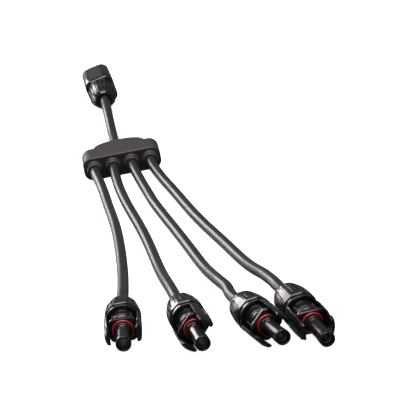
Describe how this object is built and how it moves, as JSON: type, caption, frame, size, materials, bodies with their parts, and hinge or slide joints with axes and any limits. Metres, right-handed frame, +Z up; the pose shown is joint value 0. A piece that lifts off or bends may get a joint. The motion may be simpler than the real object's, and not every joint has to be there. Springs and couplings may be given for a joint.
{
  "type": "solar branch cable with four socket connectors and one pin connector",
  "caption": "Photovoltaic branch harness: a flat junction block splits a short trunk with a shrouded pin connector into long leads with latching nosed socket connectors.",
  "frame": {"origin": "on the junction block's underside, at mid-width, 15 mm behind its front face", "axes": "+Z up off the surface it lies on, +Y towards the trunk's pin connector, -Y towards the four socket connectors, +X to the right seen from the socket connectors' side"},
  "size_m": [0.1073, 0.5425, 0.0211],
  "materials": {
    "block_rubber": "satin moulded rubber, taupe-black",
    "splice_copper": "bare metal, inside the block",
    "cable_jacket": "satin cable jacket, black",
    "nut_plastic": "glossy black",
    "housing_plastic": "glossy black",
    "arm_plastic": "glossy black",
    "clamp_plastic": "matte black, inside the nut",
    "seal_rubber": "matte, inside the housing",
    "ring_rubber": "smooth red rubber",
    "contact_tin": "bright tinned metal"
  },
  "bodies": {
    "harness": {"junction_block": "block_rubber", "splice_bar": "splice_copper", "trunk_cable": "cable_jacket", "branch_cable_1": "cable_jacket", "branch_cable_2": "cable_jacket", "branch_cable_3": "cable_jacket", "branch_cable_4": "cable_jacket", "socket_housing_1": "housing_plastic", "socket_housing_2": "housing_plastic", "socket_housing_3": "housing_plastic", "socket_housing_4": "housing_plastic", "o_ring_1": "ring_rubber", "o_ring_2": "ring_rubber", "o_ring_3": "ring_rubber", "o_ring_4": "ring_rubber", "socket_contact_1": "contact_tin", "socket_contact_2": "contact_tin", "socket_contact_3": "contact_tin", "socket_contact_4": "contact_tin", "gland_seal_1": "seal_rubber", "gland_seal_2": "seal_rubber", "gland_seal_3": "seal_rubber", "gland_seal_4": "seal_rubber", "gland_seal_5": "seal_rubber", "plug_housing": "housing_plastic", "pin_contact": "contact_tin", "clamp_ring_1": "clamp_plastic", "clamp_ring_2": "clamp_plastic", "clamp_ring_3": "clamp_plastic", "clamp_ring_4": "clamp_plastic", "clamp_ring_5": "clamp_plastic"},
    "nut_1": {"cap_nut_1": "nut_plastic"},
    "nut_2": {"cap_nut_2": "nut_plastic"},
    "nut_3": {"cap_nut_3": "nut_plastic"},
    "nut_4": {"cap_nut_4": "nut_plastic"},
    "nut_5": {"cap_nut_5": "nut_plastic"},
    "arm_right_1": {"latch_arm_right_1": "arm_plastic"},
    "arm_left_1": {"latch_arm_left_1": "arm_plastic"},
    "arm_right_2": {"latch_arm_right_2": "arm_plastic"},
    "arm_left_2": {"latch_arm_left_2": "arm_plastic"},
    "arm_right_3": {"latch_arm_right_3": "arm_plastic"},
    "arm_left_3": {"latch_arm_left_3": "arm_plastic"},
    "arm_right_4": {"latch_arm_right_4": "arm_plastic"},
    "arm_left_4": {"latch_arm_left_4": "arm_plastic"}
  },
  "joints": [
    {"name": "nut_turn_1", "type": "hinge", "parent": "harness", "child": "nut_1", "pos_m": [-0.0157, -0.2874, 0.0102], "axis": [0.0418, 0.9976, -0.0558], "range_deg": [0, 1080]},
    {"name": "nut_turn_2", "type": "hinge", "parent": "harness", "child": "nut_2", "pos_m": [0.0155, -0.3016, 0.0099], "axis": [-0.1028, 0.9947, -0.007], "range_deg": [0, 1080]},
    {"name": "nut_turn_3", "type": "hinge", "parent": "harness", "child": "nut_3", "pos_m": [0.0473, -0.3156, 0.0099], "axis": [-0.2317, 0.9726, -0.0175], "range_deg": [0, 1080]},
    {"name": "nut_turn_4", "type": "hinge", "parent": "harness", "child": "nut_4", "pos_m": [0.0683, -0.3204, 0.0099], "axis": [-0.1971, 0.9776, 0.0732], "range_deg": [0, 1080]},
    {"name": "nut_turn_5", "type": "hinge", "parent": "harness", "child": "nut_5", "pos_m": [-0.0036, 0.149, 0.0106], "axis": [0.0279, -0.9996, 0], "range_deg": [0, 1080]},
    {"name": "latch_right_1", "type": "hinge", "parent": "harness", "child": "arm_right_1", "pos_m": [-0.00746, -0.29136, 0.01011], "axis": [-0.0372, -0.0543, -0.9978], "range_deg": [0, 3], "stiffness_Nm_per_rad": 0.5},
    {"name": "latch_left_1", "type": "hinge", "parent": "harness", "child": "arm_left_1", "pos_m": [-0.02424, -0.29062, 0.01069], "axis": [0.0372, 0.0543, 0.9978], "range_deg": [0, 3], "stiffness_Nm_per_rad": 0.5},
    {"name": "latch_right_2", "type": "hinge", "parent": "harness", "child": "arm_right_2", "pos_m": [0.02156, -0.30455, 0.01607], "axis": [0.728, 0.0704, -0.682], "range_deg": [0, 3], "stiffness_Nm_per_rad": 0.5},
    {"name": "latch_left_2", "type": "hinge", "parent": "harness", "child": "arm_left_2", "pos_m": [0.01018, -0.30581, 0.00378], "axis": [-0.728, -0.0704, 0.682], "range_deg": [0, 3], "stiffness_Nm_per_rad": 0.5},
    {"name": "latch_right_3", "type": "hinge", "parent": "harness", "child": "arm_right_3", "pos_m": [0.05418, -0.31756, 0.01558], "axis": [0.6539, 0.1425, -0.743], "range_deg": [0, 3], "stiffness_Nm_per_rad": 0.5},
    {"name": "latch_left_3", "type": "hinge", "parent": "harness", "child": "arm_left_3", "pos_m": [0.04208, -0.32064, 0.00434], "axis": [-0.6539, -0.1425, 0.743], "range_deg": [0, 3], "stiffness_Nm_per_rad": 0.5},
    {"name": "latch_right_4", "type": "hinge", "parent": "harness", "child": "arm_right_4", "pos_m": [0.07722, -0.32222, 0.00905], "axis": [-0.0828, 0.0578, -0.9949], "range_deg": [0, 3], "stiffness_Nm_per_rad": 0.5},
    {"name": "latch_left_4", "type": "hinge", "parent": "harness", "child": "arm_left_4", "pos_m": [0.0608, -0.32562, 0.01022], "axis": [0.0828, -0.0578, 0.9949], "range_deg": [0, 3], "stiffness_Nm_per_rad": 0.5}
  ]
}
